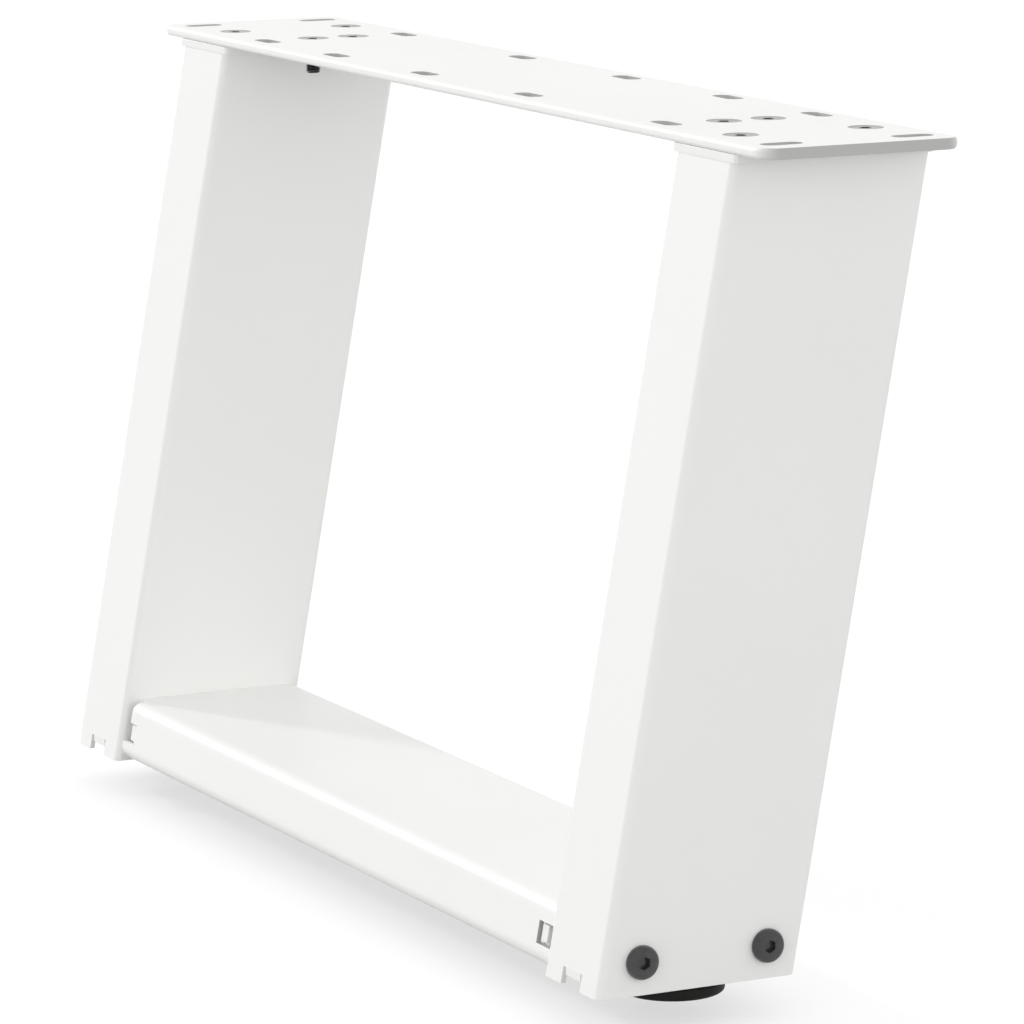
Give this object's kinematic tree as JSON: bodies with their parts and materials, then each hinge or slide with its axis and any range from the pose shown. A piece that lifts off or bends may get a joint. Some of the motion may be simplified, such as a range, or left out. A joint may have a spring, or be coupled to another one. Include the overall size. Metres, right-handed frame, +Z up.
{
  "type": "u shaped table leg",
  "caption": "Leaning U shaped table leg: a slotted top plate, box section uprights, a bolted folded crossbar near the floor and levelling feet.",
  "frame": {"origin": "centre of the top plate's top face", "axes": "+X along the plate, -Y towards the side to which the legs lean going down, +Z up"},
  "size_m": [0.5, 0.131, 0.3],
  "materials": {
    "white_frame": "semi-gloss white powder coat",
    "black_fastener": "satin black coated steel",
    "zinc_steel": "bright zinc plated",
    "black_plastic": "moulded matte"
  },
  "bodies": {
    "frame": {"top_plate": "white_frame", "cross_bar": "white_frame", "left_cap_plate": "white_frame", "left_leg_tube": "white_frame", "left_bottom_plate": "white_frame", "left_bar_bracket": "white_frame", "left_foot_nut": "zinc_steel", "left_front_bar_bolt": "black_fastener", "left_front_bar_nut": "zinc_steel", "left_front_outer_screw": "black_fastener", "left_front_inner_screw": "black_fastener", "left_rear_bar_bolt": "black_fastener", "left_rear_bar_nut": "zinc_steel", "left_rear_outer_screw": "black_fastener", "left_rear_inner_screw": "black_fastener", "right_cap_plate": "white_frame", "right_leg_tube": "white_frame", "right_bottom_plate": "white_frame", "right_bar_bracket": "white_frame", "right_foot_nut": "zinc_steel", "right_front_bar_bolt": "black_fastener", "right_front_bar_nut": "zinc_steel", "right_front_outer_screw": "black_fastener", "right_front_inner_screw": "black_fastener", "right_rear_bar_bolt": "black_fastener", "right_rear_bar_nut": "zinc_steel", "right_rear_outer_screw": "black_fastener", "right_rear_inner_screw": "black_fastener"},
    "left_foot": {"left_foot_stud": "zinc_steel", "left_foot_pad": "black_plastic"},
    "right_foot": {"right_foot_stud": "zinc_steel", "right_foot_pad": "black_plastic"}
  },
  "joints": [
    {"name": "left_foot_height", "type": "slide", "parent": "frame", "child": "left_foot", "axis": [0, 0, -1], "range_m": [0, 0.01]},
    {"name": "right_foot_height", "type": "slide", "parent": "frame", "child": "right_foot", "axis": [0, 0, -1], "range_m": [0, 0.01]}
  ]
}
